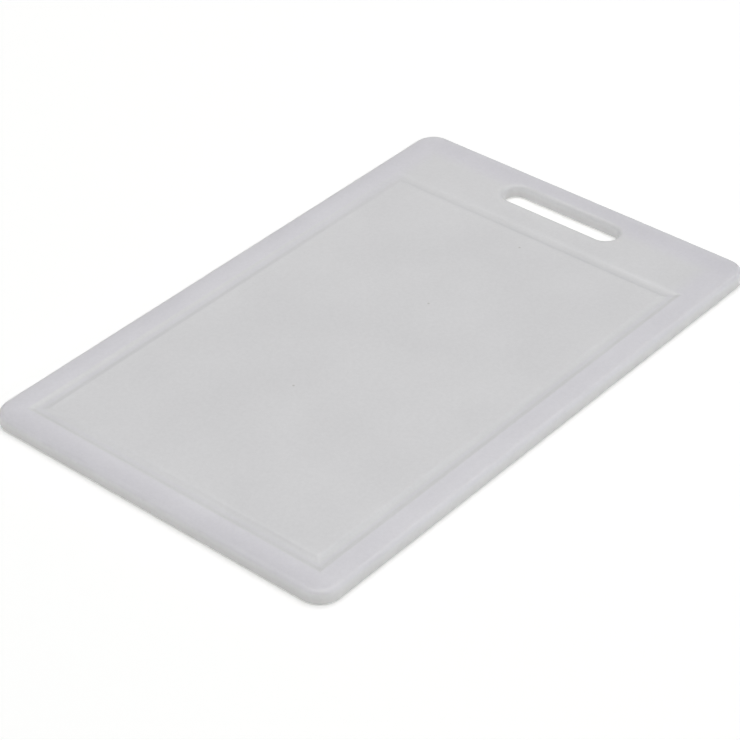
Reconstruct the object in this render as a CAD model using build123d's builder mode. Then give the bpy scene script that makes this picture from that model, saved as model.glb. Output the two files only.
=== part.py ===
"""A plastic cutting board with a hand slot and a juice groove, moulded in one piece.

Millimetres. +X runs across the board, +Y along it towards the hand slot, and +Z up out of the
cutting face. The origin is the middle of the underside.
"""

import os
from math import asin, degrees

from build123d import *

# The slab
LENGTH = 360.0
WIDTH = 230.0
THICKNESS = 8.0
CORNER_RADIUS = 12.7
TOP_EDGE_RADIUS = 3.0
BOTTOM_EDGE_RADIUS = 1.0

# The hand slot, a long hole with round ends across the far end
SLOT_LENGTH = 79.0
SLOT_WIDTH = 16.2
SLOT_TO_END = 22.8  # from the slot's centreline to the far end
SLOT_TOP_RADIUS = 2.5
SLOT_BOTTOM_RADIUS = 1.0

# The juice groove, a shallow round-bottomed channel with soft lips and mitred corners
RIM_WIDTH = 13.4  # flat rim outside the groove, along both sides and the near end
HANDLE_WIDTH = 45.8  # flat band outside the groove, at the hand slot's end
GROOVE_WIDTH = 10.5
GROOVE_DEPTH = 1.1
LIP_RADIUS = 5.5
CUT_HEADROOM = 2.0  # how far the shape that cuts the groove stands above the cutting face

# Angles of arcs, counted from the first axis of their sketch
UPWARD = 90
DOWNWARD = -90

slot_y = LENGTH / 2 - SLOT_TO_END

# The groove's centreline
half_groove = GROOVE_WIDTH / 2
groove_x = WIDTH / 2 - RIM_WIDTH - half_groove
groove_near_y = -LENGTH / 2 + RIM_WIDTH + half_groove
groove_far_y = LENGTH / 2 - HANDLE_WIDTH - half_groove

# The groove's bottom is one arc, which runs smoothly into the smaller arc of each lip
centre_distance = (half_groove**2 + GROOVE_DEPTH**2) / (2 * GROOVE_DEPTH)
bottom_radius = centre_distance - LIP_RADIUS
wall_angle = degrees(asin(half_groove / centre_distance))

os.makedirs("parts", exist_ok=True)

with BuildPart() as board:
    # The slab, with the hand slot through it
    with BuildSketch(Plane.XY):
        RectangleRounded(WIDTH, LENGTH, CORNER_RADIUS)
        with Locations((0, slot_y)):
            SlotOverall(SLOT_LENGTH, SLOT_WIDTH, mode=Mode.SUBTRACT)
    extrude(amount=THICKNESS)

    # All edges are rounder at the top than at the bottom
    fillet(board.faces().sort_by(Axis.Z)[-1].outer_wire().edges(), TOP_EDGE_RADIUS)
    fillet(board.faces().sort_by(Axis.Z)[0].outer_wire().edges(), BOTTOM_EDGE_RADIUS)
    fillet(board.faces().sort_by(Axis.Z)[-1].inner_wires()[0].edges(), SLOT_TOP_RADIUS)
    fillet(board.faces().sort_by(Axis.Z)[0].inner_wires()[0].edges(), SLOT_BOTTOM_RADIUS)

    # The groove's path starts in the middle of the near side, so that all four corners are mitred
    with BuildLine(Plane.XY.offset(THICKNESS)) as groove_path:
        Polyline(
            (0, groove_near_y),
            (groove_x, groove_near_y),
            (groove_x, groove_far_y),
            (-groove_x, groove_far_y),
            (-groove_x, groove_near_y),
            close=True,
        )

    section_plane = Plane(origin=(0, groove_near_y, THICKNESS), x_dir=(0, 1, 0), z_dir=(1, 0, 0))
    with BuildSketch(section_plane):
        with BuildLine():
            bottom_centre = (0, bottom_radius - GROOVE_DEPTH)
            CenterArc(bottom_centre, bottom_radius, DOWNWARD - wall_angle, 2 * wall_angle)
            CenterArc((half_groove, -LIP_RADIUS), LIP_RADIUS, UPWARD, wall_angle)
            CenterArc((-half_groove, -LIP_RADIUS), LIP_RADIUS, UPWARD, -wall_angle)
            Polyline(
                (half_groove, 0),
                (half_groove, CUT_HEADROOM),
                (-half_groove, CUT_HEADROOM),
                (-half_groove, 0),
            )
        make_face()
    sweep(path=groove_path.wire(), transition=Transition.RIGHT, mode=Mode.SUBTRACT)

board.part.label = "board"
export_step(board.part, "parts/board.step")
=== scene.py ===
"""The looks of the plastic cutting board: one moulded slab with a juice groove and a hand slot.

Metres, in the CAD model's frame: +X across the board, +Y towards the hand slot, +Z up.
"""

import math

import bmesh
import bpy
from mathutils import Matrix, Vector


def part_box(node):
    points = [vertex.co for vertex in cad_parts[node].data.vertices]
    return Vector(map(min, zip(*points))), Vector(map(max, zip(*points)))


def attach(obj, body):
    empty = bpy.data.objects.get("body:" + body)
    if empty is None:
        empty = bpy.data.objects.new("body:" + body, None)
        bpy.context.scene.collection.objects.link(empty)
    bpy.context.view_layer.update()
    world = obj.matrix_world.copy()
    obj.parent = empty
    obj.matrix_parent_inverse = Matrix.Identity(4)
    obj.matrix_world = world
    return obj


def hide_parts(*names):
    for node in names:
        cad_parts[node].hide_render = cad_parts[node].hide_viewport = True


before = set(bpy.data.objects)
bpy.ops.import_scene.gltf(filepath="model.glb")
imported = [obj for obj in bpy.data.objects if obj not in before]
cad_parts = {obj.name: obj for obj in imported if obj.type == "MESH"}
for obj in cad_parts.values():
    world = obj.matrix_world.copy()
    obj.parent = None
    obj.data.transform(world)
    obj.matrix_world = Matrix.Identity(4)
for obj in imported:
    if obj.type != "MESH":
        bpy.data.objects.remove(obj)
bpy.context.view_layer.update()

MM = 0.001

# The slab's size comes from the frame; its middle is the frame's origin
LOW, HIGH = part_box("board")
HALF_WIDTH = HIGH[0]
HALF_LENGTH = HIGH[1]

# Rounding of the slab
CORNER_RADIUS = 12.7 * MM
TOP_EDGE_RADIUS = 3.0 * MM
BOTTOM_EDGE_RADIUS = 1.0 * MM

# The hand slot
SLOT_HALF_LENGTH = 39.5 * MM
SLOT_HALF_WIDTH = 8.1 * MM
SLOT_Y = HALF_LENGTH - 22.8 * MM
SLOT_TOP_RADIUS = 2.5 * MM
SLOT_BOTTOM_RADIUS = 1.0 * MM

# The juice groove
RIM_WIDTH = 13.4 * MM
HANDLE_WIDTH = 45.8 * MM
GROOVE_HALF_WIDTH = 5.25 * MM
GROOVE_DEPTH = 1.1 * MM
LIP_RADIUS = 5.5 * MM
GROOVE_CORNER_RADIUS = 1.0 * MM

# The cutter went deeper towards the right and the near side: its share of the full depth in the
# middle of the board, and the change from there to a side
MIDDLE_SHARE = 0.88
DEEPER_RIGHT = 0.28
DEEPER_NEAR = 0.35

# The plastic, as it is inside the board
PLASTIC_COLOUR = (0.716, 0.716, 0.730, 1)
PLASTIC_IOR = 1.5
LIGHT_REACH = 22.0 * MM

# A painted cool cast of light lies near the board's edge, and painted shade close to it. FROM and TO
# are distances in from the edge; the last number below scales the far side's distance, so its painted
# shade reaches further in.
COOL_CAST_COLOUR = (0.716, 0.708, 0.752, 1)
RIM_SHADE_COLOUR = (0.650, 0.642, 0.684, 1)
COOL_CAST_FROM = 12.0 * MM
COOL_CAST_TO = 25.0 * MM
RIM_SHADE_TO = 14.0 * MM
FAR_SHADE_REACH = 0.6

# Where the painted cool cast of light shows, by how far the surface faces up: from STEEP to FLAT on
# the flats, and from WALL to ROUND on the rounded edge, which is done ROUND_TO in from the side.
# Painted rim shade fades in from ROUND to FLAT.
STEEP_NORMAL = 0.975
FLAT_NORMAL = 0.998
WALL_NORMAL = 0.2
ROUND_NORMAL = 0.75
ROUND_TO = 5.0 * MM

# Painted shade darkens the walls towards the underside: fully below FROM, and not at all above TO
LOW_WALL_SHADE_COLOUR = (0.608, 0.598, 0.603, 1)
LOW_WALL_SHADE_FROM = 0.5 * MM
LOW_WALL_SHADE_TO = 7.5 * MM

# Cloudy variation across the board, and the moulded grain: sizes, and how much they do
CLOUD_SIZE = 45.0 * MM
CLOUD_STRENGTH = 0.03
GRAIN_SIZE = 1.8 * MM
GRAIN_STRENGTH = 0.03
GRAIN_HEIGHT = 0.012 * MM
WAVE_SIZE = 14.0 * MM
WAVE_HEIGHT = 0.02 * MM
SMOOTHEST = 0.27
ROUGHEST = 0.39

# Specks of darker plastic in the panel: x and y
SPECKS = ((-0.5 * MM, 38.8 * MM), (-7.5 * MM, -63.6 * MM), (4.2 * MM, 113.6 * MM))
SPECK_COLOUR = (0.55, 0.55, 0.54, 1)
SPECK_RADIUS = 0.35 * MM
SPECK_FADE = 0.9 * MM

# The studio
BACKDROP_COLOUR = (0.98, 0.98, 0.98, 1)
FLOOR_REACH = 3.0
FLOOR_GAP = 0.2 * MM
FLOOR_COLOUR = (0.95, 0.95, 0.95, 1)
FLOOR_GLOW_COLOUR = (0.98, 1.0, 0.96, 1)
FLOOR_GLOW = 0.24

# The softboxes: azimuth anticlockwise from +X and elevation, half the angle that each fills, all in
# degrees, then watts and colour
LIGHT_DISTANCE = 4.0
SOFTBOXES = {
    "overhead": (0, 90, 32, 151.0, (1.0, 0.995, 1.0)),
    "right": (0, 30, 14, 13.0, (1.0, 0.93, 0.85)),
    "low_right": (40, 20, 8, 8.5, (0.7, 0.85, 1.0)),
    "back_right": (67, 48, 6, 3.6, (0.7, 0.8, 1.0)),
    "back": (90, 50, 14, 5.0, (1.0, 0.97, 0.8)),
    "gloss": (135, 35, 14, 5.8, (1.0, 0.95, 0.9)),
    "slot_glint": (155, 52, 4, 3.8, (0.95, 0.97, 1.0)),
}

# How finely curves are cut: faces in each quarter turn and in each straight, and the length of the
# shortest edge that is kept
CORNER_STEPS = 16
EDGE_STEPS = 10
GROOVE_CORNER_STEPS = 6
LIP_STEPS = 8
GROOVE_STEPS = 12
STRAIGHT_STEPS = 12
SHORTEST = 0.01 * MM

# The camera, as it stood for the photograph
CAMERA_AZIMUTH = 40.974
CAMERA_ELEVATION = 36.458
CAMERA_ROLL = -0.888
CAMERA_DISTANCE = 1.3514
CAMERA_TARGET = Vector((0.00736, -0.01971, 0.0))
SENSOR_WIDTH = 36.0
LENS = 123.84
FARTHEST = 100.0


# ---------------------------------------------------------------------------------------------
# The board's mesh
# ---------------------------------------------------------------------------------------------


def rounded_outline(half_x, half_y, centre_y, radius, corner_steps, straight_steps):
    """Anticlockwise points (x, y, outward x, outward y) of a rectangle with round corners.

    A straight without length, as on a slot's round ends, adds no points.
    """
    points = []
    for quarter in range(4):
        side_x = 1 if quarter in (0, 3) else -1
        side_y = 1 if quarter in (0, 1) else -1
        for step in range(corner_steps + 1):
            angle = math.radians(90) * (quarter + step / corner_steps)
            out_x = math.cos(angle)
            out_y = math.sin(angle)
            x = side_x * (half_x - radius) + radius * out_x
            y = centre_y + side_y * (half_y - radius) + radius * out_y
            points.append((x, y, out_x, out_y))
    outline = []
    for index, point in enumerate(points):
        following = points[(index + 1) % len(points)]
        length = math.dist(point[:2], following[:2])
        if length < SHORTEST:
            continue
        outline.append(point)
        if (index + 1) % (corner_steps + 1) == 0:
            for step in range(1, straight_steps):
                part = step / straight_steps
                x = point[0] + part * (following[0] - point[0])
                y = point[1] + part * (following[1] - point[1])
                outline.append((x, y, point[2], point[3]))
    return outline


def quarter_round(radius, steps):
    """(inset, drop, tilt) from the flat, where the surface points up, round to the wall."""
    turns = [math.radians(90) * step / steps for step in range(steps + 1)]
    return [(radius * (1 - math.sin(turn)), radius * (1 - math.cos(turn)), turn) for turn in turns]


def groove_section():
    """(offset from the centreline, depth, tilt) across the groove, from its inner lip to its outer."""
    centre_distance = (GROOVE_HALF_WIDTH**2 + GROOVE_DEPTH**2) / (2 * GROOVE_DEPTH)
    bottom_radius = centre_distance - LIP_RADIUS
    wall_angle = math.asin(GROOVE_HALF_WIDTH / centre_distance)
    section = []
    for step in range(LIP_STEPS):
        turn = wall_angle * step / LIP_STEPS
        offset = -GROOVE_HALF_WIDTH + LIP_RADIUS * math.sin(turn)
        section.append((offset, LIP_RADIUS * (1 - math.cos(turn)), turn))
    for step in range(GROOVE_STEPS + 1):
        turn = wall_angle * (1 - 2 * step / GROOVE_STEPS)
        depth = GROOVE_DEPTH - bottom_radius * (1 - math.cos(turn))
        section.append((-bottom_radius * math.sin(turn), depth, turn))
    for step in range(LIP_STEPS - 1, -1, -1):
        turn = wall_angle * step / LIP_STEPS
        offset = GROOVE_HALF_WIDTH - LIP_RADIUS * math.sin(turn)
        section.append((offset, LIP_RADIUS * (1 - math.cos(turn)), -turn))
    return section


class Moulding:
    """A mesh made of closed rings of points, with the exact normals that it is shaded with."""

    def __init__(self):
        self.mesh = bmesh.new()
        self.normals = []

    def ring(self, outline, height, tilt):
        """Adds a ring. tilt is how far the surface leans outwards from straight up, in radians."""
        corners = []
        for x, y, out_x, out_y in outline:
            corners.append(self.mesh.verts.new((x, y, height)))
            lean = math.sin(tilt)
            self.normals.append((out_x * lean, out_y * lean, math.cos(tilt)))
        return corners

    def groove_ring(self, outline, height, depth, tilt):
        """Adds a ring of the groove, where the depth and the lean follow the cutter's."""
        corners = []
        for x, y, out_x, out_y in outline:
            share = MIDDLE_SHARE + DEEPER_RIGHT * x / HALF_WIDTH - DEEPER_NEAR * y / HALF_LENGTH
            corners.append(self.mesh.verts.new((x, y, height - share * depth)))
            lean = math.sin(share * tilt)
            self.normals.append((out_x * lean, out_y * lean, math.cos(share * tilt)))
        return corners

    def wrap(self, rings):
        """Joins each ring to the next one with four-sided faces."""
        for ring, following in zip(rings, rings[1:]):
            for index in range(len(ring)):
                beside = (index + 1) % len(ring)
                corners = (ring[index], ring[beside], following[beside], following[index])
                self.mesh.faces.new(corners)

    def fill(self, *rings):
        """Fills the flat between an outer ring and any rings inside it."""
        edges = []
        for ring in rings:
            for index, corner in enumerate(ring):
                edges.append(self.mesh.edges.get((corner, ring[(index + 1) % len(ring)])))
        bmesh.ops.triangle_fill(self.mesh, edges=edges, use_beauty=True)

    def finish(self, name):
        """Returns the finished object, smooth all over."""
        self.mesh.verts.index_update()
        bmesh.ops.recalc_face_normals(self.mesh, faces=self.mesh.faces)
        data = bpy.data.meshes.new(name)
        self.mesh.to_mesh(data)
        self.mesh.free()
        data.shade_smooth()
        data.normals_split_custom_set_from_vertices(self.normals)
        piece = bpy.data.objects.new(name, data)
        bpy.context.collection.objects.link(piece)
        return piece


def slab_outline(inset):
    """The slab's outline, drawn in from its edge."""
    return rounded_outline(
        HALF_WIDTH - inset, HALF_LENGTH - inset, 0, CORNER_RADIUS - inset, CORNER_STEPS, STRAIGHT_STEPS
    )


def slot_outline(spread):
    """The hand slot's outline, drawn out from its wall."""
    half_width = SLOT_HALF_WIDTH + spread
    return rounded_outline(
        SLOT_HALF_LENGTH + spread, half_width, SLOT_Y, half_width, CORNER_STEPS, STRAIGHT_STEPS
    )


def groove_outline(offset):
    """A line that follows the groove, drawn out from its centreline."""
    half_x = HALF_WIDTH - RIM_WIDTH - GROOVE_HALF_WIDTH
    near_y = -HALF_LENGTH + RIM_WIDTH + GROOVE_HALF_WIDTH
    far_y = HALF_LENGTH - HANDLE_WIDTH - GROOVE_HALF_WIDTH
    return rounded_outline(
        half_x + offset,
        (far_y - near_y) / 2 + offset,
        (far_y + near_y) / 2,
        GROOVE_CORNER_RADIUS,
        GROOVE_CORNER_STEPS,
        STRAIGHT_STEPS,
    )


def make_board():
    """The whole moulding: the slab's edge, the slot's wall, the groove, and the flats between them."""
    moulding = Moulding()
    top = HIGH[2]
    bottom = LOW[2]

    edge = []
    for inset, drop, tilt in quarter_round(TOP_EDGE_RADIUS, EDGE_STEPS):
        edge.append(moulding.ring(slab_outline(inset), top - drop, tilt))
    for inset, drop, tilt in reversed(quarter_round(BOTTOM_EDGE_RADIUS, EDGE_STEPS)):
        edge.append(moulding.ring(slab_outline(inset), bottom + drop, math.pi - tilt))
    moulding.wrap(edge)

    slot = []
    for spread, drop, tilt in quarter_round(SLOT_TOP_RADIUS, EDGE_STEPS):
        slot.append(moulding.ring(slot_outline(spread), top - drop, -tilt))
    for spread, drop, tilt in reversed(quarter_round(SLOT_BOTTOM_RADIUS, EDGE_STEPS)):
        slot.append(moulding.ring(slot_outline(spread), bottom + drop, tilt - math.pi))
    moulding.wrap(slot)

    groove = []
    for offset, depth, tilt in groove_section():
        groove.append(moulding.groove_ring(groove_outline(offset), top, depth, tilt))
    moulding.wrap(groove)

    moulding.fill(edge[0], slot[0], groove[-1])
    moulding.fill(groove[0])
    moulding.fill(edge[-1], slot[-1])
    return moulding.finish("board_moulding")


# ---------------------------------------------------------------------------------------------
# Materials
# ---------------------------------------------------------------------------------------------


class Recipe:
    """A material and its nodes. An input is given as another node's output or as a plain value."""

    def __init__(self, name):
        self.material = bpy.data.materials.new(name)
        self.material.use_nodes = True
        self.tree = self.material.node_tree
        self.shader = self.tree.nodes["Principled BSDF"]

    def feed(self, node, inputs):
        """Gives a node its inputs, by name or by number."""
        for key, value in inputs.items():
            if isinstance(value, bpy.types.NodeSocket):
                self.tree.links.new(value, node.inputs[key])
            else:
                node.inputs[key].default_value = value

    def add(self, kind, inputs, **settings):
        """Adds a node and returns it."""
        node = self.tree.nodes.new(kind)
        for key, value in settings.items():
            setattr(node, key, value)
        self.feed(node, inputs)
        return node

    def maths(self, operation, first, second=0.0):
        """One step of arithmetic."""
        return self.add("ShaderNodeMath", {0: first, 1: second}, operation=operation).outputs[0]

    def fade(self, value, low, high, start, end):
        """start up to low, end from high, and a smooth change between them."""
        inputs = {"Value": value, "From Min": low, "From Max": high, "To Min": start, "To Max": end}
        return self.add("ShaderNodeMapRange", inputs, interpolation_type="SMOOTHSTEP").outputs[0]

    def noise(self, place, size, detail):
        """Soft random spots about size across, from 0 to 1."""
        inputs = {"Vector": place, "Scale": 1 / size, "Detail": detail}
        return self.add("ShaderNodeTexNoise", inputs).outputs["Fac"]

    def mix(self, amount, first, second):
        """first where amount is 0 and second where it is 1."""
        inputs = {"Fac": amount, "Color1": first, "Color2": second}
        return self.add("ShaderNodeMixRGB", inputs).outputs["Color"]


def rim_insets(recipe, axes):
    """How far each point is from the nearest side, and the same for the painted shade at the rim.

    The right side has no painted shade at the rim, and the far side has a wider band of it.
    """
    left = recipe.maths("ADD", HALF_WIDTH, axes["X"])
    right = recipe.maths("SUBTRACT", HALF_WIDTH, axes["X"])
    near = recipe.maths("ADD", HALF_LENGTH, axes["Y"])
    far = recipe.maths("SUBTRACT", HALF_LENGTH, axes["Y"])
    near_left = recipe.maths("MINIMUM", left, near)
    inset = recipe.maths("MINIMUM", near_left, recipe.maths("MINIMUM", right, far))
    shade_inset = recipe.maths("MINIMUM", near_left, recipe.maths("MULTIPLY", far, FAR_SHADE_REACH))
    return inset, shade_inset


def cool_cast_faces(recipe, upward, inset):
    """Where the painted cool cast of light shows: 1 on the flats and on the rounded top edge, and 0 in
    the groove and on the walls.
    """
    flat = recipe.fade(upward, STEEP_NORMAL, FLAT_NORMAL, 0.0, 1.0)
    leaning = recipe.fade(upward, WALL_NORMAL, ROUND_NORMAL, 0.0, 1.0)
    edge = recipe.fade(inset, TOP_EDGE_RADIUS, ROUND_TO, 1.0, 0.0)
    return recipe.maths("MAXIMUM", flat, recipe.maths("MULTIPLY", leaning, edge))


def speck_mask(recipe, place):
    """1 on the specks and 0 elsewhere."""
    mask = 0.0
    for x, y in SPECKS:
        gap = recipe.add("ShaderNodeVectorMath", {0: place, 1: (x, y, HIGH[2])}, operation="DISTANCE")
        spot = recipe.fade(gap.outputs["Value"], SPECK_RADIUS, SPECK_FADE, 1.0, 0.0)
        mask = recipe.maths("MAXIMUM", mask, spot)
    return mask


def white_polyethylene():
    """Translucent white plastic with a fine moulded grain and a low satin gloss, with a painted cool
    cast of light near the rim, painted shade close to the rim and painted shade low on the walls.
    """
    recipe = Recipe("moulded_polyethylene")
    position = recipe.add("ShaderNodeTexCoord", {}).outputs
    place = position["Object"]
    axes = recipe.add("ShaderNodeSeparateXYZ", {0: place}).outputs
    inset, shade_inset = rim_insets(recipe, axes)
    upward = recipe.add("ShaderNodeSeparateXYZ", {0: position["Normal"]}).outputs["Z"]
    cast_faces = cool_cast_faces(recipe, upward, inset)
    clouds = recipe.noise(place, CLOUD_SIZE, 1.0)
    grain = recipe.noise(place, GRAIN_SIZE, 2.0)
    waves = recipe.noise(place, WAVE_SIZE, 1.0)

    # Painted light: a cool cast of light on the upward faces near the rim.
    cool_cast = recipe.maths("MULTIPLY", cast_faces, recipe.fade(inset, COOL_CAST_FROM, COOL_CAST_TO, 1.0, 0.0))
    flat = recipe.fade(upward, ROUND_NORMAL, FLAT_NORMAL, 0.0, 1.0)
    # Painted shade: the flats darker close to the left, near and far sides, widest at the far side.
    rim_shade = recipe.maths("MULTIPLY", flat, recipe.fade(shade_inset, 0.0, RIM_SHADE_TO, 1.0, 0.0))
    # Painted shade: the steep walls darker towards the underside.
    steep = recipe.maths("SUBTRACT", 1.0, recipe.maths("ABSOLUTE", upward))
    low = recipe.fade(axes["Z"], LOW_WALL_SHADE_FROM, LOW_WALL_SHADE_TO, 1.0, 0.0)
    low_wall_shade = recipe.maths("MULTIPLY", steep, low)
    colour = recipe.mix(cool_cast, PLASTIC_COLOUR, COOL_CAST_COLOUR)
    colour = recipe.mix(rim_shade, colour, RIM_SHADE_COLOUR)
    colour = recipe.mix(low_wall_shade, colour, LOW_WALL_SHADE_COLOUR)
    colour = recipe.mix(speck_mask(recipe, place), colour, SPECK_COLOUR)
    cloudy = recipe.fade(clouds, 0.0, 1.0, 1 - CLOUD_STRENGTH, 1 + CLOUD_STRENGTH)
    grainy = recipe.fade(grain, 0.0, 1.0, 1 - GRAIN_STRENGTH, 1 + GRAIN_STRENGTH)
    shade = recipe.maths("MULTIPLY", cloudy, grainy)
    shaded = recipe.add("ShaderNodeVectorMath", {0: colour, "Scale": shade}, operation="SCALE")

    raised = recipe.maths("MULTIPLY", grain, GRAIN_HEIGHT)
    height = recipe.maths("ADD", raised, recipe.maths("MULTIPLY", waves, WAVE_HEIGHT))
    bump = recipe.add("ShaderNodeBump", {"Height": height, "Strength": 1.0, "Distance": 1.0})
    recipe.feed(recipe.shader, {
        "Base Color": shaded.outputs[0],
        "Roughness": recipe.fade(grain, 0.0, 1.0, SMOOTHEST, ROUGHEST),
        "Normal": bump.outputs["Normal"],
        "IOR": PLASTIC_IOR,
        "Subsurface Weight": 1.0,
        "Subsurface Radius": (1.0, 1.0, 1.0),
        "Subsurface Scale": LIGHT_REACH,
    })
    return recipe.material


def floor_paper():
    """Plain white paper, lit a little from beneath."""
    recipe = Recipe("floor_paper")
    recipe.feed(recipe.shader, {
        "Base Color": FLOOR_COLOUR,
        "Roughness": 1.0,
        "Specular IOR Level": 0.0,
        "Emission Color": FLOOR_GLOW_COLOUR,
        "Emission Strength": FLOOR_GLOW,
    })
    return recipe.material


# ---------------------------------------------------------------------------------------------
# The studio
# ---------------------------------------------------------------------------------------------


def make_floor():
    """A wide white floor, level with the board's underside."""
    data = bpy.data.meshes.new("floor")
    height = LOW[2] - FLOOR_GAP
    signs = ((-1, -1), (1, -1), (1, 1), (-1, 1))
    corners = [(x * FLOOR_REACH, y * FLOOR_REACH, height) for x, y in signs]
    data.from_pydata(corners, [], [(0, 1, 2, 3)])
    floor = bpy.data.objects.new("floor", data)
    bpy.context.collection.objects.link(floor)
    data.materials.append(floor_paper())


def add_softbox(name, azimuth, elevation, reach, watts, colour):
    """A round light far from the board and turned towards it."""
    data = bpy.data.lights.new(name, "AREA")
    data.shape = "DISK"
    data.size = 2 * LIGHT_DISTANCE * math.tan(math.radians(reach))
    data.energy = watts
    data.color = colour
    lamp = bpy.data.objects.new(name, data)
    level = math.cos(math.radians(elevation))
    turn = math.radians(azimuth)
    height = math.sin(math.radians(elevation))
    towards = Vector((math.cos(turn) * level, math.sin(turn) * level, height))
    lamp.location = LIGHT_DISTANCE * towards
    lamp.rotation_euler = (-towards).to_track_quat("-Z", "Y").to_euler()
    bpy.context.collection.objects.link(lamp)


def light_studio():
    """A large softbox overhead, weaker ones at the right and behind, and a backdrop.

    The backdrop is the world, which the camera sees and which lights nothing.
    """
    world = bpy.data.worlds.new("studio")
    world.use_nodes = True
    backdrop = world.node_tree.nodes["Background"].inputs
    backdrop["Color"].default_value = BACKDROP_COLOUR
    backdrop["Strength"].default_value = 1.0
    lit = world.cycles_visibility
    lit.diffuse = lit.glossy = lit.transmission = lit.scatter = False
    bpy.context.scene.world = world
    for name, settings in SOFTBOXES.items():
        add_softbox(name, *settings)
    bpy.context.scene.view_settings.view_transform = "Standard"


def add_camera():
    """The camera, turned about its target to the photograph's angle."""
    azimuth = math.radians(CAMERA_AZIMUTH)
    elevation = math.radians(CAMERA_ELEVATION)
    level = math.cos(elevation)
    back = Vector((math.sin(azimuth) * level, -math.cos(azimuth) * level, math.sin(elevation)))
    right = Vector((math.cos(azimuth), math.sin(azimuth), 0))
    turned = Matrix((right, back.cross(right), back)).transposed().to_4x4()
    data = bpy.data.cameras.new("camera")
    data.sensor_width = SENSOR_WIDTH
    data.lens = LENS
    data.clip_end = FARTHEST
    camera = bpy.data.objects.new("camera", data)
    place = Matrix.Translation(CAMERA_TARGET + CAMERA_DISTANCE * back)
    camera.matrix_world = place @ turned @ Matrix.Rotation(math.radians(CAMERA_ROLL), 4, "Z")
    bpy.context.collection.objects.link(camera)
    bpy.context.scene.camera = camera


add_camera()
board = make_board()
board.data.materials.append(white_polyethylene())
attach(board, "root")
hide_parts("board")
make_floor()
light_studio()
